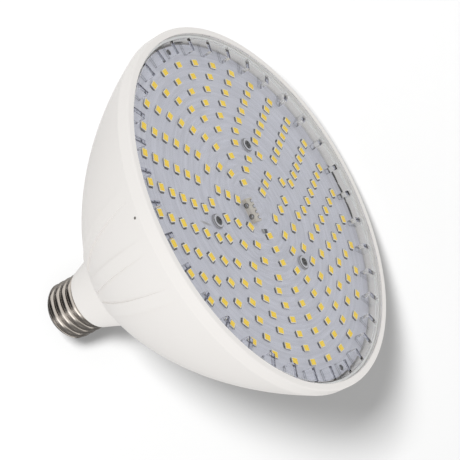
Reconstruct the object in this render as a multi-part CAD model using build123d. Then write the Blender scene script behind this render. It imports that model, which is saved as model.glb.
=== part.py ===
from build123d import *
import os
from math import cos, hypot, radians, sin, sqrt

os.makedirs("parts", exist_ok=True)

# All sizes in millimetres. The bulb is drawn with its axis along Z, from the
# contact end at zero up to the face, and is laid along -Y when it is written.

# Screw base
contact_height = 1.8
contact_radius = 4.4
contact_stem_radius = 1.0
contact_bulge = 0.4
insulator_height = 3.6
insulator_flange = 1.2
shell_length = 18.6
shell_wall = 0.5
shell_lip_radius = 9.5
shell_lip_thickness = 0.4
shell_end_round = 6.0
shell_end_bulge = 0.5
thread_crest_radius = 13.02
thread_depth = 0.82
thread_pitch = 3.629
thread_width = 3.0
plug_gap = 1.4
plug_wall = 2.6
plug_clearance = 0.1

# Housing
overall_length = 122.0
rim_radius = 79.8
rim_band = 5.4
rim_width = 2.9
rim_edge = 0.6
wall = 2.5
bowl_bulge = 7.4
neck_length = 17.0
neck_base_radius = 13.6
neck_top_radius = 19.6
neck_hollow = 0.2
rib_width = 5.6
rib_height = 0.65
rib_fade = 0.1
rib_start = 13.0
rib_step = 15.0
rib_groups = 3
ribs_in_group = 3

# Clear cover
cover_recess = 0.3
cover_thickness = 2.2
cover_clearance = 0.2
skirt_wall = 1.3
skirt_depth = 1.3
seal_height = 0.6
seal_gap = 0.05
fin_count = 35
fin_width = 2.3
fin_length = 6.0
fin_height = 4.5
fin_angle = 88.7
fin_clearance = 0.2
fin_gap = 0.1

# LED board
ledge_width = 1.1
board_thickness = 1.6
board_gap = 1.2
seat_inset = 1.0
seat_width = 3.1
seat_height = 10.0
gutter_depth = 3.5
ring_pitch = 6.0
ring_margin = 1.0
arm_count = 3
first_ring = 2
screw_ring = 5
chips_per_screw = 4
chip_length = 3.5
chip_width = 2.8
chip_height = 0.6
phosphor_length = 2.9
phosphor_width = 2.3
phosphor_height = 0.15
edge_hole_radius = 1.2
edge_hole_inset = 2.3
edge_hole_angle = 66.0
pilot_radius = 1.0
pilot_depth = 7.0

# Board screws
screw_offset = 1.0
screw_count = 3
screw_angle = 30.0
screw_radius = 1.5
screw_length = 7.0
screw_head_radius = 3.2
screw_head_height = 1.0
screw_head_round = 0.8
screw_recess_width = 1.0
screw_recess_length = 3.6
screw_recess_depth = 0.8
screw_clearance = 0.2

# Terminal block and the part beside it
block_length = 10.2
block_depth = 5.0
block_height = 2.0
block_offset = 5.0
block_angle = 150.0
block_chamfer = 0.3
entry_radius = 0.85
entry_depth = 3.4
entry_spacing = 4.9
entry_height = 1.0
contact_length = 2.6
contact_gap = 0.3
release_slot_length = 1.8
release_slot_width = 1.0
release_slot_depth = 1.0
resistor_length = 3.2
resistor_width = 1.6
resistor_height = 0.55
resistor_circle = 9.6
resistor_angle = 230.2

# Heat spreader
pad_thickness = 0.4
pad_inset = 1.2
spreader_thickness = 2.0
spreader_clearance = 0.3
spreader_flange = 9.0
collar_wall = 1.3
collar_height = 3.0
lead_hole_radius = 5.0

# Driver
driver_width = 32.0
driver_length = 50.0
driver_thickness = 1.6
driver_base = 46.0
guide_height = 29.0
guide_foot = 4.5
guide_width = 6.0
guide_depth = 5.0
guide_grip = 2.0
guide_clearance = 0.15
core_width = 16.0
core_depth = 13.0
core_height = 14.0
core_leg = 3.0
core_up = 16.0
winding_clearance = 0.3
capacitor_radius = 5.0
capacitor_height = 16.0
capacitor_round = 0.6
capacitor_spacing = 13.0
capacitor_up = 40.0
film_length = 13.0
film_depth = 6.0
film_height = 11.0
film_up = 4.0
inductor_radius = 4.5
inductor_height = 10.0
inductor_waist = 3.4
inductor_cheek = 1.4
inductor_across = -8.0
inductor_up = 12.0
rectifier_length = 8.0
rectifier_width = 6.4
rectifier_height = 3.2
rectifier_across = 9.0
rectifier_up = 9.0
chip_body_length = 5.0
chip_body_width = 4.0
chip_body_height = 1.6
chip_up = 26.0
fuse_radius = 1.9
fuse_length = 10.0
fuse_across = 8.0
fuse_up = 22.0

# Leads
lead_radius = 0.9
lead_bend = 3.0
lead_solder = 6.0
lead_notch = 2.4
lead_clearance = 0.2

# Where a solid is placed: standing on its point, or hanging from it
foot = (Align.CENTER, Align.CENTER, Align.MIN)
hang = (Align.CENTER, Align.CENTER, Align.MAX)

# Heights along the axis
shell_base = contact_height + insulator_height
shell_top = shell_base + shell_length
neck_top = shell_top + neck_length
lip_top = shell_base + shell_lip_thickness
stem_top = lip_top + insulator_flange
plug_base = stem_top + plug_gap
rim_base = overall_length - rim_band
cover_top = overall_length - cover_recess
cover_under = cover_top - cover_thickness
skirt_base = cover_under - skirt_depth
ledge = skirt_base - seal_height
board_top = cover_under - fin_height
board_under = board_top - board_thickness
spreader_top = board_under - pad_thickness
spreader_under = spreader_top - spreader_thickness
driver_top = driver_base + driver_length

# Radii that follow from others
shell_root = thread_crest_radius - thread_depth
shell_bore = shell_root - shell_wall
plug_radius = shell_bore - plug_clearance
channel_radius = plug_radius - plug_wall
cover_bore = rim_radius - rim_width
cover_radius = cover_bore - cover_clearance
skirt_bore = cover_radius - skirt_wall
board_bore = cover_bore - ledge_width
board_radius = board_bore - board_gap
edge_hole_circle = board_radius - edge_hole_inset
fin_outer = board_bore - fin_clearance
fin_inner = fin_outer - fin_length
seat_outer = board_radius - seat_inset
seat_inner = seat_outer - seat_width
spreader_radius = seat_inner - spreader_clearance
screw_circle = screw_ring * ring_pitch + screw_offset
screw_hole_radius = screw_radius + screw_clearance


def spun(outline):
    """A solid of revolution from a closed outline of radius and height."""
    return revolve(make_face(Plane.XZ * outline), Axis.Z)


def closed(points):
    """A straight-sided closed outline."""
    return Polyline(*points, close=True)


def around(shape, angles):
    """Copies of a shape turned about the axis."""
    return [Rot(Z=angle) * shape for angle in angles]


def polar(circle, angle, height=0.0):
    """A point on a circle about the axis."""
    return (circle * cos(radians(angle)), circle * sin(radians(angle)), height)


def save(shape, name):
    """Lay the piece along -Y and write it."""
    export_step(Rot(X=90) * shape, f"parts/{name}.step")


# The bowl's side is one arc from the top of the neck to the rim
chord_across = rim_radius - neck_top_radius
chord_up = rim_base - neck_top
chord = hypot(chord_across, chord_up)
bowl_radius = (chord**2 / 4 + bowl_bulge**2) / (2 * bowl_bulge)
bowl_back = bowl_radius - bowl_bulge
bowl_centre_across = (rim_radius + neck_top_radius) / 2 - bowl_back * chord_up / chord
bowl_centre_up = (rim_base + neck_top) / 2 + bowl_back * chord_across / chord


def bowl_at(height, depth=0.0):
    """A point of the bowl's side, at a depth under its outer face."""
    reach = sqrt((bowl_radius - depth) ** 2 - (height - bowl_centre_up) ** 2)
    return (bowl_centre_across + reach, height)


# Housing: bowl, rim, neck and plug
seat_base = board_under - seat_height
neck_inner_top = neck_top + wall
neck_inner = bowl_at(neck_inner_top, wall)
wall_top = bowl_at(seat_base - wall, wall)
wall_middle = bowl_at((neck_inner_top + seat_base - wall) / 2, wall)
housing_outline = Polyline(
    (channel_radius, plug_base),
    (plug_radius, plug_base),
    (plug_radius, shell_top),
    (neck_base_radius, shell_top),
)
housing_outline += SagittaArc((neck_base_radius, shell_top), (neck_top_radius, neck_top), neck_hollow)
housing_outline += ThreePointArc(
    (neck_top_radius, neck_top),
    bowl_at((neck_top + rim_base) / 2),
    (rim_radius, rim_base),
)
housing_outline += Line((rim_radius, rim_base), (rim_radius, overall_length - rim_edge))
housing_outline += RadiusArc(
    (rim_radius, overall_length - rim_edge),
    (rim_radius - rim_edge, overall_length),
    -rim_edge,
)
housing_outline += Polyline(
    (rim_radius - rim_edge, overall_length),
    (cover_bore, overall_length),
    (cover_bore, ledge),
    (board_bore, ledge),
    (board_bore, board_under - gutter_depth),
    (seat_outer, board_under - gutter_depth),
    (seat_outer, board_under),
    (seat_inner, board_under),
    (seat_inner, seat_base),
    wall_top,
)
housing_outline += ThreePointArc(wall_top, wall_middle, neck_inner)
housing_outline += Polyline(
    neck_inner,
    (channel_radius, shell_top),
    (channel_radius, plug_base),
)
housing = spun(housing_outline)

# Raised ribs on the bowl, full height from the neck to halfway up and run out below the rim
rib_base = neck_top + rib_start
rib_low = bowl_at(rib_base, -rib_height)
rib_high = bowl_at(rim_base, rib_fade)
rib_middle = bowl_at((rib_base + rim_base) / 2, -rib_height)
rib_inner_low = bowl_at(rib_base, wall / 2)
rib_inner_high = bowl_at(rim_base, wall / 2)
rib_inner_middle = bowl_at((rib_base + rim_base) / 2, wall / 2)
rib_outline = ThreePointArc(rib_low, rib_middle, rib_high)
rib_outline += Line(rib_high, rib_inner_high)
rib_outline += ThreePointArc(rib_inner_high, rib_inner_middle, rib_inner_low)
rib_outline += Line(rib_inner_low, rib_low)
rib_span = Box(rim_radius, rib_width, overall_length, align=(Align.MIN, Align.CENTER, Align.MIN))
rib = spun(rib_outline) & rib_span
rib_angles = [
    screw_angle + 360 / rib_groups * group + rib_step * (place - (ribs_in_group - 1) / 2)
    for group in range(rib_groups)
    for place in range(ribs_in_group)
]
housing += around(rib, rib_angles)

# Two slotted guides for the driver board, each on a foot that grows out of the bowl's wall
wall_core_low = bowl_at(neck_top, wall / 2)
wall_core_high = bowl_at(rim_base, wall / 2)
wall_core_outline = ThreePointArc(wall_core_low, bowl_at((neck_top + rim_base) / 2, wall / 2), wall_core_high)
wall_core_outline += Polyline(wall_core_high, (0, rim_base), (0, neck_top), wall_core_low)
guide_across = driver_width / 2 - guide_grip
guide_base = driver_base - guide_foot
outward = (Align.MIN, Align.CENTER, Align.MIN)
guide = Pos(guide_across, 0, guide_base) * (
    Box(guide_depth, guide_width, guide_foot + guide_height, align=outward)
    + Box(rim_radius, guide_width, guide_foot, align=outward)
)
guide &= spun(wall_core_outline)
guide -= Pos(guide_across, 0, driver_base) * Box(
    guide_grip + guide_clearance,
    driver_thickness + 2 * guide_clearance,
    guide_height,
    align=outward,
)
housing += around(guide, (0, 180))

# Blind pilot holes in the seat, under the two holes at the board's edge
edge_hole_angles = (edge_hole_angle, edge_hole_angle + 180)
pilot = Pos(edge_hole_circle, 0, board_under) * Cylinder(pilot_radius, pilot_depth, align=hang)
housing -= around(pilot, edge_hole_angles)

# The side lead passes to the shell through a notch in the plug
notch_up = plug_base + lead_notch / 2
housing -= Pos(-plug_radius, 0, plug_base) * Box(
    2 * plug_wall + 2 * plug_clearance,
    lead_notch,
    lead_notch,
    align=foot,
)
save(housing, "housing")

# Clear cover with its skirt and the fins that hold the board down
cover = spun(
    closed(
        [
            (0, cover_under),
            (skirt_bore, cover_under),
            (skirt_bore, skirt_base),
            (cover_radius, skirt_base),
            (cover_radius, cover_top),
            (0, cover_top),
        ]
    )
)
fin = Pos(fin_outer, 0, board_top + fin_gap) * Box(
    fin_length,
    fin_width,
    fin_height - fin_gap + cover_thickness / 2,
    align=(Align.MAX, Align.CENTER, Align.MIN),
)
cover += around(fin, [fin_angle + 360 / fin_count * place for place in range(fin_count)])
save(cover, "lens_cover")

cover_seal = spun(
    closed(
        [
            (board_bore, ledge),
            (cover_radius, ledge),
            (cover_radius, skirt_base - seal_gap),
            (board_bore, skirt_base - seal_gap),
        ]
    )
)
save(cover_seal, "cover_seal")

# LED board
screw_angles = [screw_angle + 360 / screw_count * place for place in range(screw_count)]
block_place = Pos(*polar(block_offset, block_angle, board_top)) * Rot(Z=block_angle)
led_board = Pos(0, 0, board_under) * Cylinder(board_radius, board_thickness, align=foot)
board_hole_height = 3 * board_thickness
screw_hole = Pos(screw_circle, 0, board_top) * Cylinder(screw_hole_radius, board_hole_height)
edge_hole = Pos(edge_hole_circle, 0, board_top) * Cylinder(edge_hole_radius, board_hole_height)
led_board -= around(screw_hole, screw_angles)
led_board -= around(edge_hole, edge_hole_angles)
for side in (-1, 1):
    solder_hole = Cylinder(lead_radius + lead_clearance, board_hole_height)
    led_board -= block_place * Pos(0, side * entry_spacing / 2, 0) * solder_hole
save(led_board, "led_board")

# LED chips in rings out to the fins, all starting on the same three arms.
# The screws' ring has fewer chips, with each screw midway between two of them.
last_ring = int((fin_inner - ring_margin - chip_width / 2) / ring_pitch)
chip_spots = []
for ring in range(first_ring, last_ring + 1):
    chips_in_ring = arm_count * ring
    ring_turn = 0.0
    if ring == screw_ring:
        chips_in_ring = chips_per_screw * screw_count
        ring_turn = screw_angle + 180 / chips_in_ring
    for place in range(chips_in_ring):
        angle = ring_turn + 360 / chips_in_ring * place
        chip_spots.append(Rot(Z=angle) * Pos(ring * ring_pitch, 0, board_top))
package = Box(chip_width, chip_length, chip_height, align=foot)
phosphor = Pos(0, 0, chip_height) * Box(phosphor_width, phosphor_length, phosphor_height, align=foot)
save(Compound([spot * package for spot in chip_spots]), "led_packages")
save(Compound([spot * phosphor for spot in chip_spots]), "led_phosphors")

# Pan-head screws that clamp the board to the heat spreader
screw = Cylinder(screw_radius, screw_length, align=hang)
head = Cylinder(screw_head_radius, screw_head_height, align=foot)
head = fillet(head.edges().sort_by(Axis.Z)[-1:], screw_head_round)
recess = Box(screw_recess_length, screw_recess_width, screw_recess_depth, align=hang)
head -= Pos(0, 0, screw_head_height) * (recess + Rot(Z=90) * recess)
screw += head
save(Compound(around(Pos(screw_circle, 0, board_top) * screw, screw_angles)), "board_screws")

# Terminal block, wire entries facing away from the middle of the board
block = Box(block_depth, block_length, block_height, align=foot)
block = chamfer(block.edges().filter_by(Axis.Y).group_by(Axis.Z)[-1].sort_by(Axis.X)[:1], block_chamfer)
clips = []
for side in (-1, 1):
    mouth = Pos(block_depth / 2, side * entry_spacing / 2, entry_height) * Rot(Y=90)
    block -= mouth * Cylinder(entry_radius, entry_depth, align=hang)
    clips.append(
        mouth
        * Pos(0, 0, -entry_depth)
        * Cylinder(entry_radius - contact_gap, contact_length, align=foot)
    )
    for half in (-1, 1):
        slot_place = Pos(-block_depth / 2, side * entry_spacing / 2 + half * entry_spacing / 4, block_height)
        block -= slot_place * Box(2 * release_slot_length, release_slot_width, 2 * release_slot_depth)
save(block_place * block, "terminal_block")
save(Compound([block_place * clip for clip in clips]), "terminal_contacts")

resistor = Box(resistor_width, resistor_length, resistor_height, align=foot)
save(Rot(Z=resistor_angle) * Pos(resistor_circle, 0, board_top) * resistor, "board_resistor")

# Thermal pad and flanged heat spreader behind the board
pad = Pos(0, 0, spreader_top) * Cylinder(spreader_radius - pad_inset, pad_thickness, align=foot)
hole_height = 2 * screw_length
lead_hole = Pos(*polar(block_offset, block_angle, board_under)) * Cylinder(lead_hole_radius, hole_height)
pad_hole = Pos(screw_circle, 0, board_under) * Cylinder(screw_hole_radius, hole_height)
pad -= lead_hole
pad -= around(pad_hole, screw_angles)
save(pad, "thermal_pad")

flange_bore = spreader_radius - spreader_thickness
spreader = spun(
    closed(
        [
            (0, spreader_under),
            (flange_bore, spreader_under),
            (flange_bore, spreader_top - spreader_flange),
            (spreader_radius, spreader_top - spreader_flange),
            (spreader_radius, spreader_top),
            (0, spreader_top),
        ]
    )
)
collar_radius = screw_radius + collar_wall
collar = Pos(screw_circle, 0, spreader_under) * Cylinder(collar_radius, collar_height, align=hang)
tapping = Pos(screw_circle, 0, board_under) * Cylinder(screw_radius, hole_height)
spreader += around(collar, screw_angles)
spreader -= around(tapping, screw_angles)
spreader -= lead_hole
save(spreader, "heat_spreader")

# Driver board, standing in the guides
driver_place = Pos(0, 0, driver_base)
driver = driver_place * Box(driver_width, driver_thickness, driver_length, align=foot)
save(driver, "driver_board")

# The front of the driver board carries the tall parts, the back the flat ones
front_face = Plane(origin=(0, driver_thickness / 2, driver_base), x_dir=(1, 0, 0), z_dir=(0, 1, 0))
back_face = Plane(origin=(0, -driver_thickness / 2, driver_base), x_dir=(1, 0, 0), z_dir=(0, -1, 0))


def on_front(across, up):
    return front_face.location * Pos(across, -up, 0)


def on_back(across, up):
    return back_face.location * Pos(across, up, 0)


core_place = on_front(0, core_up)
window_width = (core_width - 4 * core_leg) / 2
window_height = core_height - 2 * core_leg
core = Box(core_width, core_depth, core_height, align=foot)
for side in (-1, 1):
    window = Pos(side * (core_leg + window_width / 2), 0, core_leg)
    core -= window * Box(window_width, core_depth, window_height, align=foot)
save(core_place * core, "transformer_core")

winding_width = 2 * (core_leg + window_width - winding_clearance)
winding = Pos(0, 0, core_leg) * Box(winding_width, core_depth + 2 * window_width, window_height, align=foot)
winding -= Box(2 * core_leg, core_depth, core_height, align=foot)
save(core_place * winding, "transformer_winding")

can = Cylinder(capacitor_radius, capacitor_height, align=foot)
can = fillet(can.edges().filter_by(GeomType.CIRCLE), capacitor_round)
cans = [on_front(side * capacitor_spacing / 2, capacitor_up) * can for side in (-1, 1)]
save(Compound(cans), "bulk_capacitors")

film = Box(film_length, film_depth, film_height, align=foot)
save(on_front(0, film_up) * film, "film_capacitor")

drum = spun(
    closed(
        [
            (0, 0),
            (inductor_radius, 0),
            (inductor_radius, inductor_cheek),
            (inductor_waist, inductor_cheek),
            (inductor_waist, inductor_height - inductor_cheek),
            (inductor_radius, inductor_height - inductor_cheek),
            (inductor_radius, inductor_height),
            (0, inductor_height),
        ]
    )
)
save(on_back(inductor_across, inductor_up) * drum, "filter_inductor")

rectifier = Box(rectifier_length, rectifier_width, rectifier_height, align=foot)
save(on_back(rectifier_across, rectifier_up) * rectifier, "bridge_rectifier")

driver_chip = Box(chip_body_length, chip_body_width, chip_body_height, align=foot)
save(on_back(0, chip_up) * driver_chip, "driver_chip")

fuse = Pos(0, 0, fuse_radius) * Rot(X=90) * Cylinder(fuse_radius, fuse_length)
save(on_back(fuse_across, fuse_up) * fuse, "fuse_resistor")


def lead(*points):
    """A round lead along straight runs with bent corners."""
    path = FilletPolyline(*points, radius=lead_bend)
    start = Plane(origin=path @ 0, z_dir=path % 0)
    return sweep(start * Circle(lead_radius), path=path)


# Leads soldered flat on the driver board's back face
lead_face = -driver_thickness / 2 - lead_radius
output_leads = []
for side in (-1, 1):
    pole = block_place * Pos(0, side * entry_spacing / 2, 0)
    pole_across = pole.position.X
    pole_along = pole.position.Y
    output_leads.append(
        lead(
            (side * entry_spacing / 2, lead_face, driver_top - lead_solder),
            (side * entry_spacing / 2, lead_face, driver_top + lead_bend),
            (pole_across, pole_along, spreader_under - collar_height),
            (pole_across, pole_along, board_top),
        )
    )
save(Compound(output_leads), "output_leads")

centre_lead = lead(
    (entry_spacing / 2, lead_face, driver_base + lead_solder),
    (entry_spacing / 2, lead_face, driver_base - lead_bend),
    (0, 0, shell_top),
    (0, 0, stem_top),
)
side_lead = lead(
    (-entry_spacing / 2, lead_face, driver_base + lead_solder),
    (-entry_spacing / 2, lead_face, driver_base - lead_bend),
    (-channel_radius / 2, 0, shell_top),
    (-channel_radius / 2, 0, notch_up),
    (-plug_radius, 0, notch_up),
)
save(Compound([centre_lead, side_lead]), "input_leads")

# Rolled screw shell: a helical ridge on a thin cup, trimmed to a rounded end
helix_start = shell_base - thread_pitch
core_blank = Pos(0, 0, helix_start) * Cylinder(shell_root, shell_length + 2 * thread_pitch, align=foot)
helix = Pos(0, 0, helix_start) * Helix(thread_pitch, shell_length + 2 * thread_pitch, shell_root)
ridge_plane = Plane(origin=helix @ 0, x_dir=(1, 0, 0), z_dir=helix % 0)
ridge_outline = ThreePointArc((0, -thread_width / 2), (thread_depth, 0), (0, thread_width / 2))
ridge_outline += Polyline(
    (0, thread_width / 2),
    (-shell_wall / 2, thread_width / 2),
    (-shell_wall / 2, -thread_width / 2),
    (0, -thread_width / 2),
)
ridge = sweep(make_face(ridge_plane * ridge_outline), path=helix, is_frenet=True)
trim_radius = thread_crest_radius + thread_depth
envelope_outline = Line((0, shell_base), (shell_lip_radius, shell_base))
envelope_outline += SagittaArc(
    (shell_lip_radius, shell_base),
    (trim_radius, shell_base + shell_end_round),
    -shell_end_bulge,
)
envelope_outline += Polyline(
    (trim_radius, shell_base + shell_end_round),
    (trim_radius, shell_top),
    (0, shell_top),
    (0, shell_base),
)
shell = (core_blank + ridge) & spun(envelope_outline)
cavity = spun(
    closed(
        [
            (0, shell_base),
            (shell_lip_radius, shell_base),
            (shell_lip_radius, lip_top),
            (shell_bore, plug_base),
            (shell_bore, shell_top),
            (0, shell_top),
        ]
    )
)
shell -= cavity
save(shell, "screw_shell")

# Insulator: its neck fills the shell's lip, its flange lies on the slope inside
flange_radius = shell_lip_radius + (shell_bore - shell_lip_radius) * insulator_flange / (plug_base - lip_top)
insulator = spun(
    closed(
        [
            (contact_stem_radius, contact_height),
            (contact_radius, contact_height),
            (shell_lip_radius, shell_base),
            (shell_lip_radius, lip_top),
            (flange_radius, stem_top),
            (contact_stem_radius, stem_top),
        ]
    )
)
save(insulator, "base_insulator")

contact_outline = Line((0, 0), (contact_stem_radius, 0))
contact_outline += SagittaArc((contact_stem_radius, 0), (contact_radius, contact_height), -contact_bulge)
contact_outline += Polyline(
    (contact_radius, contact_height),
    (contact_stem_radius, contact_height),
    (contact_stem_radius, stem_top),
    (0, stem_top),
    (0, 0),
)
save(spun(contact_outline), "centre_contact")
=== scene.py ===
import bpy
import numpy as np
from math import cos, radians, sin
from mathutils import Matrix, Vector


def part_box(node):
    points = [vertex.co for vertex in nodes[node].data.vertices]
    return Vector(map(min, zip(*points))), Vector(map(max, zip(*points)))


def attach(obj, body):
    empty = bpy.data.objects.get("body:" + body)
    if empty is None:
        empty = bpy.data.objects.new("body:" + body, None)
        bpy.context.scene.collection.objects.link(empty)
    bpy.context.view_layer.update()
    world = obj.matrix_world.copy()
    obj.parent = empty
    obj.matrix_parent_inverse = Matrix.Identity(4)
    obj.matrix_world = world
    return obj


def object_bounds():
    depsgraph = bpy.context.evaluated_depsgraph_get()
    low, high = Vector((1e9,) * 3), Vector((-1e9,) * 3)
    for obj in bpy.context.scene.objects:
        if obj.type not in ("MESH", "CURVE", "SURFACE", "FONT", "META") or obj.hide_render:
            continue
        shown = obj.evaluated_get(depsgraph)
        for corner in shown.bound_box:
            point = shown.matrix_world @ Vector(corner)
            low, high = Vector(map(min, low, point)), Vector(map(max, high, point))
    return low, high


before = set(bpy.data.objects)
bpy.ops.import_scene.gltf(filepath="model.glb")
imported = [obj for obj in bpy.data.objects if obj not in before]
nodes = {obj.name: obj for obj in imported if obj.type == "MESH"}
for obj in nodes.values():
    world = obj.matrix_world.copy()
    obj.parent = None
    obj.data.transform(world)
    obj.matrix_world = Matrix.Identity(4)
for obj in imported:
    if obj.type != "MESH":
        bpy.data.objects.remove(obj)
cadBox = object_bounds()
print("frame loaded:", len(nodes), "nodes")


# Shader helpers
def newGroup(name, inputs, outputs):
    # inputs and outputs give each socket's label and kind
    group = bpy.data.node_groups.new(name, "ShaderNodeTree")
    for label, kind in inputs.items():
        group.interface.new_socket(label, in_out="INPUT", socket_type="NodeSocket" + kind)
    for label, kind in outputs.items():
        group.interface.new_socket(label, in_out="OUTPUT", socket_type="NodeSocket" + kind)
    return group


def add(tree, kind, **settings):
    # settings name node properties, or input sockets by number as in in0
    node = tree.nodes.new(kind)
    for key, value in settings.items():
        if key.startswith("in") and key[2:].isdigit():
            socket = node.inputs[int(key[2:])]
            if isinstance(value, bpy.types.NodeSocket):
                tree.links.new(value, socket)
            else:
                socket.default_value = value
        else:
            setattr(node, key, value)
    return node


def calc(tree, operation, first, second=0.0, third=0.0):
    node = add(tree, "ShaderNodeMath", operation=operation, in0=first, in1=second, in2=third)
    return node.outputs[0]


def vectorCalc(tree, operation, first, second=(0, 0, 0)):
    node = add(tree, "ShaderNodeVectorMath", operation=operation, in0=first, in1=second)
    return node.outputs["Value" if operation in ("LENGTH", "DISTANCE") else "Vector"]


def largest(tree, *values):
    top = values[0]
    for value in values[1:]:
        top = calc(tree, "MAXIMUM", top, value)
    return top


def blendColour(tree, share, first, second):
    node = add(tree, "ShaderNodeMix", data_type="RGBA", in0=share, in6=first, in7=second)
    return node.outputs[2]


def rise(tree, value, none, full):
    # nothing at the first bound, one at the second, held level outside them
    return add(tree, "ShaderNodeMapRange", in0=value, in1=none, in2=full).outputs[0]


def noise(tree, point, scale, detail, rough=0.5):
    return add(tree, "ShaderNodeTexNoise", in0=point, in2=scale, in3=detail, in4=rough).outputs[0]


def objectPoint(tree):
    return add(tree, "ShaderNodeTexCoord").outputs["Object"]


def axesOf(tree, vector):
    return add(tree, "ShaderNodeSeparateXYZ", in0=vector).outputs


def offAxis(tree, point):
    # part of a point that lies square to the bulb's axis
    return vectorCalc(tree, "MULTIPLY", point, (1, 0, 1))


def giveOut(group, **values):
    out = add(group, "NodeGroupOutput")
    for label, value in values.items():
        group.links.new(value, out.inputs[label])


# What both finish groups take and give
finishInputs = {"base": "Color", "shade": "Color", "rough": "Float", "roughSpread": "Float"}
finishOutputs = {"colour": "Color", "roughness": "Float", "height": "Float"}
noiseMean = 0.5


def unevenGloss(group, given, value):
    # roughness that swings about its mean with a noise value
    swing = calc(group, "SUBTRACT", value, noiseMean)
    return calc(group, "MULTIPLY_ADD", swing, given["roughSpread"], given["rough"])


# Moulded or cast surface: cloudy colour between two shades, uneven gloss, fine grain height
grainForm = {
    "cloudDetail": 4.0,
    "cloudLow": 0.3,
    "cloudHigh": 0.7,
    "fineTimes": 14.0,
    "fineDetail": 3.0,
}


def makeMouldGrain():
    group = newGroup("mouldGrain", {**finishInputs, "scale": "Float", "mottle": "Float"}, finishOutputs)
    given = add(group, "NodeGroupInput").outputs
    point = objectPoint(group)
    cloud = noise(group, point, given["scale"], grainForm["cloudDetail"])
    fineScale = calc(group, "MULTIPLY", given["scale"], grainForm["fineTimes"])
    fine = noise(group, point, fineScale, grainForm["fineDetail"])
    wide = rise(group, cloud, grainForm["cloudLow"], grainForm["cloudHigh"])
    share = calc(group, "MULTIPLY", wide, given["mottle"])
    colour = blendColour(group, share, given["base"], given["shade"])
    giveOut(group, colour=colour, roughness=unevenGloss(group, given, cloud), height=fine)
    return group


# Turned metal: noise stretched along circles about the bulb's axis, from radius and direction
lineForm = {
    "around": 2.5,
    "scale": 1.0,
    "detail": 4.0,
    "rough": 0.6,
    "low": 0.3,
    "high": 0.7,
    "lineShare": 0.75,
    "cloudScale": 22.0,
    "cloudDetail": 2.0,
    "cloudShare": 0.3,
}


def makeTurnedLines():
    group = newGroup("turnedLines", {**finishInputs, "density": "Float"}, finishOutputs)
    given = add(group, "NodeGroupInput").outputs
    point = objectPoint(group)
    flat = offAxis(group, point)
    radius = vectorCalc(group, "LENGTH", flat)
    toward = axesOf(group, vectorCalc(group, "NORMALIZE", flat))
    ring = add(
        group,
        "ShaderNodeCombineXYZ",
        in0=calc(group, "MULTIPLY", radius, given["density"]),
        in1=calc(group, "MULTIPLY", toward[0], lineForm["around"]),
        in2=calc(group, "MULTIPLY", toward[2], lineForm["around"]),
    ).outputs[0]
    lines = noise(group, ring, lineForm["scale"], lineForm["detail"], lineForm["rough"])
    cloud = noise(group, point, lineForm["cloudScale"], lineForm["cloudDetail"])
    cloudPart = calc(group, "MULTIPLY", cloud, lineForm["cloudShare"])
    sharp = rise(group, lines, lineForm["low"], lineForm["high"])
    share = calc(group, "MULTIPLY_ADD", sharp, lineForm["lineShare"], cloudPart)
    colour = blendColour(group, share, given["base"], given["shade"])
    giveOut(group, colour=colour, roughness=unevenGloss(group, given, lines), height=lines)
    return group


# Mark: one inside a stretched ball about a point, turned about the bulb's axis, soft at its edge
def makeMark():
    inputs = {"centre": "Vector", "reach": "Vector", "soft": "Float", "turn": "Float"}
    group = newGroup("mark", inputs, {"mask": "Float"})
    given = add(group, "NodeGroupInput").outputs
    away = vectorCalc(group, "SUBTRACT", objectPoint(group), given["centre"])
    level = add(group, "ShaderNodeVectorRotate", rotation_type="Y_AXIS", in0=away)
    group.links.new(given["turn"], level.inputs["Angle"])
    share = vectorCalc(group, "DIVIDE", level.outputs[0], given["reach"])
    far = vectorCalc(group, "LENGTH", share)
    inner = calc(group, "SUBTRACT", 1.0, given["soft"])
    outer = calc(group, "ADD", 1.0, given["soft"])
    giveOut(group, mask=rise(group, far, outer, inner))
    return group


mouldGrain = makeMouldGrain()
turnedLines = makeTurnedLines()
mark = makeMark()
print("shader groups ready")


def useGroup(tree, group, **values):
    node = tree.nodes.new("ShaderNodeGroup")
    node.node_tree = group
    for key, value in values.items():
        node.inputs[key].default_value = value
    return node


def markedShare(tree, spots, reach, soft, turn=0.0):
    # one at any of the spots, none between them
    marks = [useGroup(tree, mark, centre=spot, reach=reach, soft=soft, turn=turn) for spot in spots]
    return largest(tree, *[node.outputs[0] for node in marks])


def fadeShare(tree, centre, start, end):
    # none near a point, one past the end
    return rise(tree, vectorCalc(tree, "DISTANCE", objectPoint(tree), centre), start, end)


def newMaterial(name):
    mat = bpy.data.materials.new(name)
    mat.use_nodes = True
    return mat, mat.node_tree, mat.node_tree.nodes["Principled BSDF"]


def paint(material, *names):
    for name in names:
        slots = nodes[name].data.materials
        slots.clear()
        slots.append(material)


def bumpInto(tree, shader, height, strength, distance):
    bump = add(tree, "ShaderNodeBump")
    bump.inputs["Strength"].default_value = strength
    bump.inputs["Distance"].default_value = distance
    tree.links.new(height, bump.inputs["Height"])
    tree.links.new(bump.outputs[0], shader.inputs["Normal"])


def mixSurface(tree, share, first, second, output="Material Output"):
    # surface that goes from the first shader to the second with the share
    mix = add(tree, "ShaderNodeMixShader", in0=share, in1=first.outputs[0], in2=second.outputs[0])
    tree.links.new(mix.outputs[0], tree.nodes[output].inputs["Surface"])


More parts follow.
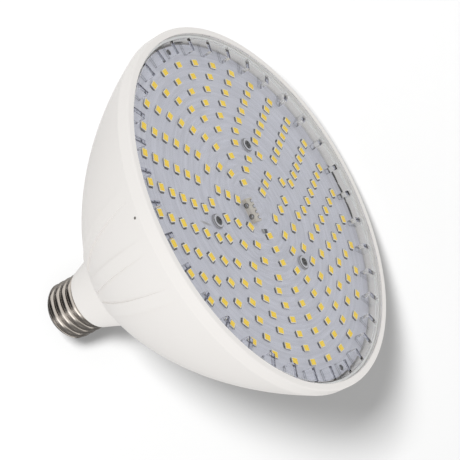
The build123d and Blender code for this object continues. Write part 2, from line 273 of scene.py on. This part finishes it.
# A finish made of the grain group alone, with constants straight on the shader
def grainFinish(look):
    mat, tree, shader = newMaterial(look["name"])
    grain = useGroup(
        tree,
        mouldGrain,
        base=(*look["base"], 1),
        shade=(*look["shade"], 1),
        scale=look["scale"],
        mottle=look["mottle"],
        rough=look["rough"],
        roughSpread=look["roughSpread"],
    )
    tree.links.new(grain.outputs["colour"], shader.inputs["Base Color"])
    tree.links.new(grain.outputs["roughness"], shader.inputs["Roughness"])
    for key, socket in (("metallic", "Metallic"), ("specular", "Specular IOR Level")):
        if key in look:
            shader.inputs[socket].default_value = look[key]
    bumpInto(tree, shader, grain.outputs["height"], look["bump"], look["depth"])
    return mat, tree, shader, grain


# Places on the board, and its two small holes near the edge
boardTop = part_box("led_board")[0].y
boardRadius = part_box("led_board")[1].x
edgeHole = {"inFromEdge": 0.0023, "angles": (66.0, 246.0)}
edgeCircle = boardRadius - edgeHole["inFromEdge"]


def boardSpot(radius, angle, lift, aside=0.0):
    # point by circle and angle on the board, height above it, and a step along the circle's tangent
    a = radians(angle)
    return (radius * cos(a) - aside * sin(a), boardTop - lift, radius * sin(a) + aside * cos(a))


# Housing: satin white moulding, warm, one dark speck, painted shade in the pilot holes and gaps by the board
housingLook = {
    "name": "satinWhite",
    "base": (0.86, 0.835, 0.81),
    "shade": (0.81, 0.785, 0.755),
    "scale": 18.0,
    "mottle": 0.35,
    "rough": 0.48,
    "roughSpread": 0.12,
    "specular": 0.3,
    "bump": 0.12,
    "depth": 0.0002,
    "speckAt": (-0.06247, -0.1143, 0.04816),
    "speckReach": (0.0005, 0.0008, 0.0005),
    "speckSoft": 0.3,
    "speckColour": (0.09, 0.08, 0.07, 1),
    "gapStep": 0.0012,
    "gapLift": -0.0005,
    "gapAngles": (320.5, 327.0, 333.5, 58.5, 239.0),
    "gapReach": (0.0005, 0.0008, 0.0052),
    "gapSoft": 0.15,
    "pilotLift": -0.0051,
    "pilotReach": (0.0014, 0.0036, 0.0014),
    "pilotSoft": 0.1,
    "holeShade": (0.02, 0.02, 0.021, 1),
}
whiteMat, whiteTree, whiteShader, whiteGrain = grainFinish(housingLook)
speckShare = markedShare(
    whiteTree, [housingLook["speckAt"]], housingLook["speckReach"], housingLook["speckSoft"]
)
speckColour = blendColour(whiteTree, speckShare, whiteGrain.outputs["colour"], housingLook["speckColour"])
# painted shade: dark inside the pilot holes and in short arcs of the gutter beside the board
pilotSpots = [boardSpot(edgeCircle, angle, housingLook["pilotLift"]) for angle in edgeHole["angles"]]
shadeShares = [markedShare(whiteTree, pilotSpots, housingLook["pilotReach"], housingLook["pilotSoft"])]
for angle in housingLook["gapAngles"]:
    gapSpot = boardSpot(boardRadius + housingLook["gapStep"], angle, housingLook["gapLift"])
    gapShadeShare = markedShare(
        whiteTree, [gapSpot], housingLook["gapReach"], housingLook["gapSoft"], radians(angle)
    )
    shadeShares.append(gapShadeShare)
whiteShade = largest(whiteTree, *shadeShares)
whiteColour = blendColour(whiteTree, whiteShade, speckColour, housingLook["holeShade"])
whiteTree.links.new(whiteColour, whiteShader.inputs["Base Color"])
paint(whiteMat, "housing")

# Clear cover: polished plastic disc with a skirt and fins, which lets light through to the board
coverLook = {
    "tint": (0.985, 0.99, 0.995, 1),
    "edge": (0.30, 0.31, 0.32, 1),
    "edgeFrom": 0.62,
    "edgeTo": 0.95,
    "flat": 0.9,
    "fin": (0.95, 0.955, 0.96, 1),
    "finEdgeShade": (0.55, 0.555, 0.565, 1),
    "finEdgeFrom": 0.5,
    "finEdgeTo": 0.85,
    "finFrom": 0.0043,
    "finTo": 0.0041,
    "rough": 0.015,
    "ior": 1.49,
    "waveScale": 60.0,
    "waveDetail": 1.0,
    "wave": 0.02,
    "waveDepth": 0.0004,
    "bounces": 5.5,
    "skirtIn": 0.0012,
    "skirtDown": 0.0003,
    "finFoot": 0.0002,
    "fins": 35,
    "finAngle": 88.7,
    "finHalf": 0.00115,
    "finInner": 0.0696,
    "finLine": 0.00045,
    "finLineSoft": 0.0001,
    "finLineShade": (0.52, 0.52, 0.54, 1),
}
coverMat, coverTree, coverShader = newMaterial("clearCover")
coverPoint = objectPoint(coverTree)
coverAxes = axesOf(coverTree, coverPoint)
coverDepth = coverAxes[1]
coverReach = vectorCalc(coverTree, "LENGTH", offAxis(coverTree, coverPoint))
coverLow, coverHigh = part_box("lens_cover")
# painted shade: upright walls and fins are darker where they are seen on edge, flat faces stay clear
coverFacing = add(coverTree, "ShaderNodeLayerWeight").outputs["Facing"]
coverNormal = add(coverTree, "ShaderNodeTexCoord").outputs["Normal"]
coverAlong = calc(coverTree, "ABSOLUTE", axesOf(coverTree, coverNormal)[1])
coverUpright = calc(coverTree, "LESS_THAN", coverAlong, coverLook["flat"])
wallEdgeShade = rise(coverTree, coverFacing, coverLook["edgeFrom"], coverLook["edgeTo"])
wallEdgeShade = calc(coverTree, "MULTIPLY", wallEdgeShade, coverUpright)
wallTintAndShade = blendColour(coverTree, wallEdgeShade, coverLook["tint"], coverLook["edge"])
finEdgeShade = rise(coverTree, coverFacing, coverLook["finEdgeFrom"], coverLook["finEdgeTo"])
finTintAndShade = blendColour(coverTree, finEdgeShade, coverLook["fin"], coverLook["finEdgeShade"])
finShare = rise(coverTree, coverDepth, boardTop - coverLook["finFrom"], boardTop - coverLook["finTo"])
coverTintAndShade = blendColour(coverTree, finShare, wallTintAndShade, finTintAndShade)
coverTree.links.new(coverTintAndShade, coverShader.inputs["Base Color"])
coverShader.inputs["Roughness"].default_value = coverLook["rough"]
coverShader.inputs["IOR"].default_value = coverLook["ior"]
coverShader.inputs["Transmission Weight"].default_value = 1.0
coverWave = noise(coverTree, coverPoint, coverLook["waveScale"], coverLook["waveDetail"])
bumpInto(coverTree, coverShader, coverWave, coverLook["wave"], coverLook["waveDepth"])
# light for the board, long paths, the skirt's outer wall and the fins' feet pass straight through
coverRays = add(coverTree, "ShaderNodeLightPath").outputs
longPath = calc(coverTree, "GREATER_THAN", coverRays["Ray Depth"], coverLook["bounces"])
skirtOut = calc(coverTree, "GREATER_THAN", coverReach, coverHigh.x - coverLook["skirtIn"])
skirtDown = calc(coverTree, "GREATER_THAN", coverDepth, coverLow.y + coverLook["skirtDown"])
skirtWall = calc(coverTree, "MULTIPLY", skirtOut, skirtDown)
finFoot = calc(coverTree, "GREATER_THAN", coverDepth, boardTop - coverLook["finFoot"])
coverStraight = largest(
    coverTree,
    coverRays["Is Shadow Ray"],
    coverRays["Is Diffuse Ray"],
    longPath,
    skirtWall,
    finFoot,
)
# painted shade: dark line round each fin's foot, from how far a point lies from the middle of the nearest
# fin
finPitch = radians(360 / coverLook["fins"])
coverAngle = calc(coverTree, "ARCTAN2", coverAxes[2], coverAxes[0])
pastFin = calc(coverTree, "SUBTRACT", coverAngle, radians(coverLook["finAngle"]))
nearFin = calc(coverTree, "PINGPONG", pastFin, finPitch / 2)
finAcross = calc(coverTree, "MULTIPLY", nearFin, coverReach)
lineFrom = coverLook["finHalf"] - coverLook["finLine"]
finSide = rise(coverTree, finAcross, lineFrom, lineFrom + coverLook["finLineSoft"])
endFrom = coverLook["finInner"] + coverLook["finLine"]
finEnd = rise(coverTree, coverReach, endFrom, endFrom - coverLook["finLineSoft"])
finLineShadeShare = calc(coverTree, "MULTIPLY", finFoot, largest(coverTree, finSide, finEnd))
clearTintAndShade = blendColour(coverTree, finLineShadeShare, coverLook["tint"], coverLook["finLineShade"])
coverClear = add(coverTree, "ShaderNodeBsdfTransparent", in0=clearTintAndShade)
mixSurface(coverTree, coverStraight, coverShader, coverClear)
paint(coverMat, "lens_cover")

# LED board: finely turned aluminium with one faint rub mark, painted shade in its two edge holes
boardLook = {
    "base": (0.46, 0.465, 0.525),
    "shade": (0.65, 0.655, 0.73),
    "density": 800.0,
    "rough": 0.38,
    "roughSpread": 0.16,
    "metallic": 0.3,
    "anisotropic": 0.4,
    "bump": 0.15,
    "depth": 0.00005,
    "rubAt": (-0.03333, boardTop, 0.01993),
    "rubReach": (0.0027, 0.001, 0.0005),
    "rubSoft": 0.5,
    "rubTurn": -57.9,
    "rubColour": (0.34, 0.33, 0.34, 1),
    "holeLift": -0.0004,
    "holeReach": (0.0015, 0.0009, 0.0015),
    "holeSoft": 0.05,
    "holeShade": (0.03, 0.03, 0.032, 1),
}
boardMat, boardTree, boardShader = newMaterial("turnedBoard")
boardLines = useGroup(
    boardTree,
    turnedLines,
    base=(*boardLook["base"], 1),
    shade=(*boardLook["shade"], 1),
    density=boardLook["density"],
    rough=boardLook["rough"],
    roughSpread=boardLook["roughSpread"],
)
rubShare = markedShare(
    boardTree,
    [boardLook["rubAt"]],
    boardLook["rubReach"],
    boardLook["rubSoft"],
    radians(boardLook["rubTurn"]),
)
rubColour = blendColour(boardTree, rubShare, boardLines.outputs["colour"], boardLook["rubColour"])
# painted shade inside the two edge holes
holeSpots = [boardSpot(edgeCircle, angle, boardLook["holeLift"]) for angle in edgeHole["angles"]]
holeShadeShare = markedShare(boardTree, holeSpots, boardLook["holeReach"], boardLook["holeSoft"])
boardColour = blendColour(boardTree, holeShadeShare, rubColour, boardLook["holeShade"])
boardTree.links.new(boardColour, boardShader.inputs["Base Color"])
boardTree.links.new(boardLines.outputs["roughness"], boardShader.inputs["Roughness"])
boardShader.inputs["Metallic"].default_value = boardLook["metallic"]
boardShader.inputs["Anisotropic"].default_value = boardLook["anisotropic"]
boardTangent = add(boardTree, "ShaderNodeTangent", direction_type="RADIAL", axis="Y")
boardTree.links.new(boardTangent.outputs[0], boardShader.inputs["Tangent"])
bumpInto(boardTree, boardShader, boardLines.outputs["height"], boardLook["bump"], boardLook["depth"])
paint(boardMat, "led_board")

# LED chips: pale frame in front, grey sides, and painted shade that darkens the sides at the foot
chipLook = {
    "name": "chipBody",
    "base": (0.92, 0.90, 0.80),
    "shade": (0.85, 0.82, 0.70),
    "side": (0.66, 0.66, 0.66, 1),
    "foot": (0.03, 0.031, 0.036, 1),
    "footTop": 0.0003,
    "footEdge": 0.00018,
    "front": -0.5,
    "specular": 0.15,
    "scale": 900.0,
    "mottle": 0.6,
    "rough": 0.4,
    "roughSpread": 0.2,
    "bump": 0.1,
    "depth": 0.00005,
}
chipMat, chipTree, chipShader, chipGrain = grainFinish(chipLook)
chipNormal = add(chipTree, "ShaderNodeTexCoord").outputs["Normal"]
chipFront = calc(chipTree, "LESS_THAN", axesOf(chipTree, chipNormal)[1], chipLook["front"])
chipDepth = axesOf(chipTree, objectPoint(chipTree))[1]
# painted shade: the sides darken towards the board
chipFootShade = rise(chipTree, chipDepth, boardTop - chipLook["footTop"], boardTop - chipLook["footEdge"])
chipSide = blendColour(chipTree, chipFootShade, chipLook["side"], chipLook["foot"])
chipColour = blendColour(chipTree, chipFront, chipSide, chipGrain.outputs["colour"])
chipTree.links.new(chipColour, chipShader.inputs["Base Color"])
paint(chipMat, "led_packages")

# Board screws: bright steel heads, painted shade in the cross recess and in a ring round the crown
screwLook = {
    "name": "brightSteel",
    "base": (0.56, 0.56, 0.60),
    "shade": (0.48, 0.48, 0.52),
    "scale": 700.0,
    "mottle": 0.8,
    "rough": 0.32,
    "roughSpread": 0.2,
    "bump": 0.1,
    "depth": 0.00005,
    "metallic": 0.4,
    "circle": 0.031,
    "angles": (30, 150, 270),
    "floorLift": 0.0002,
    "recessReach": (0.0025, 0.0012, 0.0025),
    "recessSoft": 0.06,
    "crownReach": (0.00272, 1.0, 0.00272),
    "ringReach": (0.00297, 1.0, 0.00297),
    "ringSoft": 0.03,
    "recessShade": (0.02, 0.02, 0.022, 1),
    "ring": (0.04, 0.04, 0.044, 1),
    "side": (0.36, 0.36, 0.39, 1),
}
screwMat, screwTree, screwShader, screwGrain = grainFinish(screwLook)
screwSpots = [boardSpot(screwLook["circle"], angle, screwLook["floorLift"]) for angle in screwLook["angles"]]
# painted shade: dark in the cross recess and in a thin ring round the crown
screwRecessShade = markedShare(screwTree, screwSpots, screwLook["recessReach"], screwLook["recessSoft"])
screwCrown = markedShare(screwTree, screwSpots, screwLook["crownReach"], screwLook["ringSoft"])
screwRingShade = markedShare(screwTree, screwSpots, screwLook["ringReach"], screwLook["ringSoft"])
screwColour = blendColour(screwTree, screwRingShade, screwLook["side"], screwLook["ring"])
screwColour = blendColour(screwTree, screwCrown, screwColour, screwGrain.outputs["colour"])
screwColour = blendColour(screwTree, screwRecessShade, screwColour, screwLook["recessShade"])
screwTree.links.new(screwColour, screwShader.inputs["Base Color"])
paint(screwMat, "board_screws")

# Terminal block: beige nylon, painted shade at its release slots and inside its wire entries
blockLook = {
    "name": "beigeNylon",
    "base": (0.56, 0.51, 0.44),
    "shade": (0.46, 0.42, 0.36),
    "scale": 500.0,
    "mottle": 0.6,
    "rough": 0.5,
    "roughSpread": 0.15,
    "bump": 0.15,
    "depth": 0.0001,
    "circle": 0.005,
    "angle": 150.0,
    "slotBack": -0.0012,
    "slotLift": 0.0017,
    "slotAsides": (-0.003675, -0.001225, 0.001225, 0.003675),
    "slotReach": (0.0011, 0.0009, 0.0008),
    "entryFront": 0.0023,
    "entryLift": 0.001,
    "entryAsides": (-0.00245, 0.00245),
    "entryReach": (0.0006, 0.0012, 0.0012),
    "soft": 0.08,
    "recessShade": (0.05, 0.045, 0.04, 1),
}


def blockShare(tree, step, lift, asides, reach):
    # marks in a row across the block, a step along its middle line
    circle = blockLook["circle"] + step
    spots = [boardSpot(circle, blockLook["angle"], lift, aside) for aside in asides]
    return markedShare(tree, spots, reach, blockLook["soft"], radians(blockLook["angle"]))


blockMat, blockTree, blockShader, blockGrain = grainFinish(blockLook)
# painted shade: dark marks at the release slots and in the wire entries
slotShadeShare = blockShare(
    blockTree,
    blockLook["slotBack"],
    blockLook["slotLift"],
    blockLook["slotAsides"],
    blockLook["slotReach"],
)
entryShadeShare = blockShare(
    blockTree,
    blockLook["entryFront"],
    blockLook["entryLift"],
    blockLook["entryAsides"],
    blockLook["entryReach"],
)
blockShade = largest(blockTree, slotShadeShare, entryShadeShare)
blockColour = blendColour(blockTree, blockShade, blockGrain.outputs["colour"], blockLook["recessShade"])
blockTree.links.new(blockColour, blockShader.inputs["Base Color"])
paint(blockMat, "terminal_block")

# Chip resistor: black top between tinned ends, the nearer end wetted further in
resistorLook = {
    "name": "blackTop",
    "base": (0.022, 0.022, 0.024),
    "shade": (0.04, 0.04, 0.043),
    "scale": 800.0,
    "mottle": 0.8,
    "rough": 0.45,
    "roughSpread": 0.2,
    "specular": 0.1,
    "bump": 0.2,
    "depth": 0.0001,
    "circle": 0.0096,
    "angle": 230.2,
    "lift": 0.0003,
    "endAsides": (-0.0012, 0.0019),
    "endReach": (0.003, 0.003, 0.00062),
    "endSoft": 0.1,
    "tin": (0.34, 0.34, 0.34, 1),
}
resistorMat, resistorTree, resistorShader, resistorGrain = grainFinish(resistorLook)
resistorEnds = [
    boardSpot(resistorLook["circle"], resistorLook["angle"], resistorLook["lift"], aside)
    for aside in resistorLook["endAsides"]
]
resistorTin = markedShare(
    resistorTree,
    resistorEnds,
    resistorLook["endReach"],
    resistorLook["endSoft"],
    radians(resistorLook["angle"]),
)
resistorColour = blendColour(resistorTree, resistorTin, resistorGrain.outputs["colour"], resistorLook["tin"])
resistorTree.links.new(resistorColour, resistorShader.inputs["Base Color"])
paint(resistorMat, "board_resistor")

# Plain grain finishes, one for each remaining kind of piece
finishes = [
    {
        "name": "phosphorGel", "nodes": ["led_phosphors"],
        "base": (1.0, 0.70, 0.02), "shade": (0.97, 0.62, 0.015), "scale": 420.0, "mottle": 0.7,
        "rough": 0.45, "roughSpread": 0.15, "specular": 0.1, "bump": 0.1, "depth": 0.00005,
    },
    {
        "name": "sealBead", "nodes": ["cover_seal"],
        "base": (0.92, 0.92, 0.90), "shade": (0.86, 0.86, 0.84), "scale": 60.0, "mottle": 0.6,
        "rough": 0.4, "roughSpread": 0.2, "bump": 0.15, "depth": 0.0002,
    },
    {
        "name": "brightTin", "nodes": ["terminal_contacts", "centre_contact"],
        "base": (0.82, 0.81, 0.79), "shade": (0.6, 0.6, 0.59), "scale": 600.0, "mottle": 0.6,
        "rough": 0.25, "roughSpread": 0.2, "metallic": 1.0, "bump": 0.2, "depth": 0.0001,
    },
    {
        "name": "blackMould", "nodes": ["bridge_rectifier", "driver_chip"],
        "base": (0.03, 0.03, 0.032), "shade": (0.055, 0.055, 0.058), "scale": 800.0, "mottle": 0.8,
        "rough": 0.5, "roughSpread": 0.2, "bump": 0.2, "depth": 0.0001,
    },
    {
        "name": "greySilicone", "nodes": ["thermal_pad"],
        "base": (0.42, 0.44, 0.48), "shade": (0.36, 0.38, 0.42), "scale": 150.0, "mottle": 0.7,
        "rough": 0.7, "roughSpread": 0.1, "bump": 0.3, "depth": 0.0002,
    },
    {
        "name": "millAluminium", "nodes": ["heat_spreader"],
        "base": (0.7, 0.7, 0.71), "shade": (0.58, 0.58, 0.6), "scale": 120.0, "mottle": 0.6,
        "rough": 0.35, "roughSpread": 0.2, "metallic": 1.0, "bump": 0.15, "depth": 0.0001,
    },
    {
        "name": "greenLaminate", "nodes": ["driver_board"],
        "base": (0.02, 0.16, 0.05), "shade": (0.015, 0.11, 0.035), "scale": 300.0, "mottle": 0.7,
        "rough": 0.35, "roughSpread": 0.15, "bump": 0.2, "depth": 0.0001,
    },
    {
        "name": "ferrite", "nodes": ["transformer_core", "filter_inductor"],
        "base": (0.05, 0.05, 0.052), "shade": (0.09, 0.09, 0.095), "scale": 700.0, "mottle": 0.8,
        "rough": 0.6, "roughSpread": 0.2, "bump": 0.3, "depth": 0.0001,
    },
    {
        "name": "yellowTape", "nodes": ["transformer_winding"],
        "base": (0.78, 0.58, 0.05), "shade": (0.66, 0.47, 0.03), "scale": 260.0, "mottle": 0.6,
        "rough": 0.3, "roughSpread": 0.15, "bump": 0.2, "depth": 0.0001,
    },
    {
        "name": "canSleeve", "nodes": ["bulk_capacitors"],
        "base": (0.02, 0.022, 0.03), "shade": (0.035, 0.04, 0.055), "scale": 250.0, "mottle": 0.6,
        "rough": 0.28, "roughSpread": 0.12, "bump": 0.1, "depth": 0.0001,
    },
    {
        "name": "ochreCase", "nodes": ["film_capacitor"],
        "base": (0.55, 0.36, 0.05), "shade": (0.46, 0.29, 0.035), "scale": 260.0, "mottle": 0.6,
        "rough": 0.35, "roughSpread": 0.15, "bump": 0.15, "depth": 0.0001,
    },
    {
        "name": "tealLacquer", "nodes": ["fuse_resistor"],
        "base": (0.07, 0.2, 0.23), "shade": (0.05, 0.15, 0.17), "scale": 400.0, "mottle": 0.6,
        "rough": 0.3, "roughSpread": 0.15, "bump": 0.15, "depth": 0.0001,
    },
    {
        "name": "redJacket", "nodes": ["output_leads", "input_leads"],
        "base": (0.5, 0.03, 0.025), "shade": (0.4, 0.02, 0.018), "scale": 300.0, "mottle": 0.5,
        "rough": 0.4, "roughSpread": 0.1, "bump": 0.15, "depth": 0.0001,
    },
    {
        "name": "blackGlass", "nodes": ["base_insulator"],
        "base": (0.03, 0.03, 0.035), "shade": (0.06, 0.055, 0.06), "scale": 250.0, "mottle": 0.6,
        "rough": 0.22, "roughSpread": 0.12, "bump": 0.15, "depth": 0.0001,
    },
    {
        "name": "nickelPlate", "nodes": ["screw_shell"],
        "base": (0.60, 0.55, 0.50), "shade": (0.48, 0.435, 0.39), "scale": 260.0, "mottle": 0.7,
        "rough": 0.2, "roughSpread": 0.16, "metallic": 1.0, "bump": 0.1, "depth": 0.0001,
    },
]
for look in finishes:
    paint(grainFinish(look)[0], *look["nodes"])
print("finishes set:", len(bpy.data.materials), "materials")


# Mesh from whole arrays of points and of faces
def addMesh(name, points, faces, material):
    mesh = bpy.data.meshes.new(name)
    mesh.from_pydata(points.tolist(), [], faces)
    mesh.materials.append(material)
    mesh.validate()
    obj = bpy.data.objects.new(name, mesh)
    bpy.context.scene.collection.objects.link(obj)
    return obj


# Solder fillets at both ends of every chip: a hollow wedge section carried across the chip's width
# painted shade: the fillets are near black, standing for the shade at both ends of each chip
solderLook = {
    "name": "shadedSolder",
    "base": (0.09, 0.09, 0.10),
    "shade": (0.04, 0.04, 0.045),
    "scale": 900.0,
    "mottle": 0.8,
    "rough": 0.5,
    "roughSpread": 0.2,
    "specular": 0.3,
    "metallic": 0.2,
    "bump": 0.2,
    "depth": 0.00005,
    "ringPitch": 0.006,
    "rings": range(2, 12),
    "chipsMore": 3,
    "screwRingShade": 5,
    "screwRingChips": 12,
    "screwRingTurn": 15.0,
    "chipHalf": 0.00175,
    "reach": 0.0007,
    "width": 0.0022,
    "climb": 0.0003,
    "section": [(0, 0), (0, 1), (0.3, 0.45), (0.65, 0.15), (1, 0.06), (1, 0)],
}
# circle and angle of every chip, ring by ring
rings = np.array(solderLook["rings"])
onScrewRing = rings == solderLook["screwRingShade"]
counts = np.where(onScrewRing, solderLook["screwRingChips"], solderLook["chipsMore"] * rings)
turns = np.where(onScrewRing, solderLook["screwRingTurn"], 0.0)
chipRadius = np.repeat(rings * solderLook["ringPitch"], counts)
chipPlace = np.concatenate([np.arange(count) for count in counts])
chipAngle = np.radians(np.repeat(turns, counts) + chipPlace * np.repeat(360 / counts, counts))
print("chips:", chipRadius.size)

# section points are shares of reach and climb, from the chip's wall down to the board
wedge = np.array(solderLook["section"])
wedgeSize = len(wedge)
acrossSide = np.array([-0.5, 0.5]) * solderLook["width"]
tangent = solderLook["chipHalf"] + wedge[:, 0] * solderLook["reach"]
lift = wedge[:, 1] * solderLook["climb"]
# one fillet: radial offset, tangential offset and lift for the section at both sides of the chip
local = np.stack([np.repeat(acrossSide, wedgeSize), np.tile(tangent, 2), np.tile(lift, 2)], axis=1)
localBoth = np.stack([local, local * np.array([1, -1, 1])])
alongRadius = np.stack([np.cos(chipAngle), np.zeros_like(chipAngle), np.sin(chipAngle)], axis=1)
alongTurn = np.stack([-np.sin(chipAngle), np.zeros_like(chipAngle), np.cos(chipAngle)], axis=1)
outward = np.array([0.0, -1.0, 0.0])
boardPoint = np.array([0.0, boardTop, 0.0])
solderPoints = (
    boardPoint
    + (chipRadius[:, None, None, None] + localBoth[None, :, :, 0:1]) * alongRadius[:, None, None, :]
    + localBoth[None, :, :, 1:2] * alongTurn[:, None, None, :]
    + localBoth[None, :, :, 2:3] * outward
).reshape(-1, 3)
# walls between the two sections and a cap on each, turned round on the mirrored fillet
step = np.arange(wedgeSize)
ahead = (step + 1) % wedgeSize
wallFaces = np.stack([step, ahead, ahead + wedgeSize, step + wedgeSize], axis=1)
capFaces = np.stack([step[::-1], step + wedgeSize])
starts = np.arange(chipRadius.size * 2) * 2 * wedgeSize
turned = (np.arange(starts.size) % 2).astype(bool)
walls = starts[:, None, None] + wallFaces
caps = starts[:, None, None] + capFaces
walls[turned] = walls[turned][:, :, ::-1]
caps[turned] = caps[turned][:, :, ::-1]
solderFaces = walls.reshape(-1, 4).tolist() + caps.reshape(-1, wedgeSize).tolist()
solder = addMesh("chipSolder", solderPoints, solderFaces, grainFinish(solderLook)[0])
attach(solder, "root")
print("solder fillets:", starts.size)


def addSheet(name, at, sideFirst, sideSecond, material):
    # flat sheet about a point, out to both half sides
    corners = np.array([(-1, -1), (1, -1), (1, 1), (-1, 1)])
    points = np.array(at) + corners[:, :1] * np.array(sideFirst) + corners[:, 1:] * np.array(sideSecond)
    obj = addMesh(name, points, [(0, 1, 2, 3)], material)
    return obj


def seenShare(tree):
    # one where the ray comes from the camera, or through gloss or glass
    rays = add(tree, "ShaderNodeLightPath").outputs
    return largest(tree, rays["Is Camera Ray"], rays["Is Glossy Ray"], rays["Is Transmission Ray"])


# Table: pale sheet under the bulb as it lies on its side, through the lowest lines of bowl and shell
tableLook = {
    "normal": (-0.7598, -0.5499, 0.3468),
    "offset": -0.0062,
    "farSide": (0.264, 0.244, 0.933),
    "size": 0.7,
    "fadeFrom": 0.18,
    "fadeTo": 0.28,
    "colour": (0.3, 0.3, 0.3, 1),
    "rough": 0.9,
    "specular": 0.0,
    "lift": 0.1,
    "glow": 0.95,
}
middle = (Vector(cadBox[0]) + Vector(cadBox[1])) / 2
tableUp = Vector(tableLook["normal"]).normalized()
tableMiddle = middle + tableUp * (tableLook["offset"] - middle.dot(tableUp))
tableFar = Vector(tableLook["farSide"])
tableFar = (tableFar - tableUp * tableFar.dot(tableUp)).normalized()
tableNear = tableUp.cross(tableFar)
tableMat, tableTree, tableShader = newMaterial("paleTable")
tableShader.inputs["Base Color"].default_value = tableLook["colour"]
tableShader.inputs["Roughness"].default_value = tableLook["rough"]
tableShader.inputs["Specular IOR Level"].default_value = tableLook["specular"]
# a little of its own light where it is seen, and an even glow for the bulb's underside
liftPower = calc(tableTree, "MULTIPLY", seenShare(tableTree), tableLook["lift"])
tableLift = add(tableTree, "ShaderNodeEmission", in1=liftPower)
tableSum = add(tableTree, "ShaderNodeAddShader", in0=tableShader.outputs[0], in1=tableLift.outputs[0])
tableGlow = add(tableTree, "ShaderNodeEmission", in1=tableLook["glow"])
tableEven = add(
    tableTree,
    "ShaderNodeMixShader",
    in0=add(tableTree, "ShaderNodeLightPath").outputs["Is Diffuse Ray"],
    in1=tableSum.outputs[0],
    in2=tableGlow.outputs[0],
)
# one-sided, and faded out away from the bulb
tableBack = add(tableTree, "ShaderNodeNewGeometry").outputs["Backfacing"]
tableFade = fadeShare(tableTree, tableMiddle, tableLook["fadeFrom"], tableLook["fadeTo"])
tableClear = add(tableTree, "ShaderNodeBsdfTransparent")
mixSurface(tableTree, largest(tableTree, tableBack, tableFade), tableEven, tableClear)
tableMat.cycles.emission_sampling = "NONE"
tableHalf = tableLook["size"] / 2
table = addSheet("table", tableMiddle, tableFar * tableHalf, tableNear * tableHalf, tableMat)

# Cards that only gloss shows: flat ones on the table, standing ones before the shell
cardLook = {
    "lift": 0.004,
    "away": 0.35,
    "soft": 0.6,
    "flat": [
        {"name": "coverCard", "shade": 0.03, "far": -0.07, "near": -0.21, "half": 0.20},
        {"name": "shellFar", "shade": 0.03, "far": 0.14, "near": 0.11, "half": 0.17},
        {"name": "shellNear", "shade": 0.16, "far": -0.14, "near": 0.11, "half": 0.22},
    ],
    "standing": [
        {"name": "shellDark", "shade": 0.03, "way": (-0.369, 0.515, 0.7735), "half": 0.31},
        {"name": "shellGrey", "shade": 0.22, "way": (-0.826, 0.515, -0.229), "half": 0.19},
        {"name": "shellUnder", "shade": 0.22, "way": (-0.70, -0.20, -0.68), "half": 0.26},
    ],
}


def addCard(card, at, wide, high):
    # soft round card of one shade, on a square sheet
    mat, tree, shader = newMaterial(card["name"])
    tree.nodes.remove(shader)
    glow = add(tree, "ShaderNodeEmission", in0=(card["shade"], card["shade"], card["shade"], 1))
    clear = add(tree, "ShaderNodeBsdfTransparent")
    fade = fadeShare(tree, at, card["half"] * cardLook["soft"], card["half"])
    mixSurface(tree, fade, glow, clear)
    mat.cycles.emission_sampling = "NONE"
    obj = addSheet(card["name"], at, wide * card["half"], high * card["half"], mat)
    obj.visible_camera = False
    obj.visible_diffuse = False
    obj.visible_transmission = False
    obj.visible_shadow = False


for card in cardLook["flat"]:
    cardAt = tableMiddle + tableFar * card["far"] + tableNear * card["near"] + tableUp * cardLook["lift"]
    addCard(card, cardAt, tableFar, tableNear)
shellLow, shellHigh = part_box("screw_shell")
for card in cardLook["standing"]:
    way = Vector(card["way"]).normalized()
    wide = way.cross(tableUp).normalized()
    addCard(card, (shellLow + shellHigh) / 2 + way * cardLook["away"], wide, wide.cross(way))
print("table and cards set")

# Studio: even surround that shows white, a lamp for the table's shadow and a soft lamp for the bulb
studio = {
    "white": (1, 1, 1, 1),
    "surround": 0.93,
    "tableLean": 0.36,
    "tableFrom": 1.2,
    "tableSize": 0.3,
    "tablePower": 36.0,
    "fillFrom": (-0.93, -0.1, 0.15),
    "fillSize": 0.6,
    "fillPower": 1.2,
}
world = bpy.data.worlds.new("studio")
bpy.context.scene.world = world
world.use_nodes = True
worldTree = world.node_tree
lightShade = worldTree.nodes["Background"]
lightShade.inputs["Strength"].default_value = studio["surround"]
lightShade.inputs["Color"].default_value = studio["white"]
seenShade = add(worldTree, "ShaderNodeBackground", in0=studio["white"])
mixSurface(worldTree, seenShare(worldTree), lightShade, seenShade, "World Output")


def addLamp(name, at, size, power, tableState):
    # square lamp aimed at the bulb, which lights the table alone or all but the table
    lamp = bpy.data.lights.new(name, "AREA")
    lamp.energy = power
    lamp.size = size
    obj = bpy.data.objects.new(name, lamp)
    obj.location = at
    obj.rotation_euler = (middle - at).to_track_quat("-Z", "Y").to_euler()
    bpy.context.scene.collection.objects.link(obj)
    lit = bpy.data.collections.new(name + "Lit")
    lit.objects.link(table)
    obj.light_linking.receiver_collection = lit
    lit.collection_objects[0].light_linking.link_state = tableState


tableLampWay = (tableUp + tableFar * studio["tableLean"]).normalized() * studio["tableFrom"]
addLamp("tableLamp", middle + tableLampWay, studio["tableSize"], studio["tablePower"], "INCLUDE")
addLamp("fillLamp", middle + Vector(studio["fillFrom"]), studio["fillSize"], studio["fillPower"], "EXCLUDE")

# Camera: from the left of the face, a little above, rolled as the bulb is tilted in the picture
view = {
    "at": (-0.49728, -0.42872, 0.2242),
    "turn": (63.017, 38.416, -74.118),
    "lens": 122.17,
    "clipFrom": 0.01,
}
camera = bpy.data.cameras.new("camera")
camera.lens = view["lens"]
camera.clip_start = view["clipFrom"]
cameraObj = bpy.data.objects.new("camera", camera)
cameraObj.location = view["at"]
cameraObj.rotation_euler = [radians(angle) for angle in view["turn"]]
bpy.context.scene.collection.objects.link(cameraObj)
bpy.context.scene.camera = cameraObj
bpy.context.scene.view_settings.view_transform = "Standard"
print("studio and camera set")
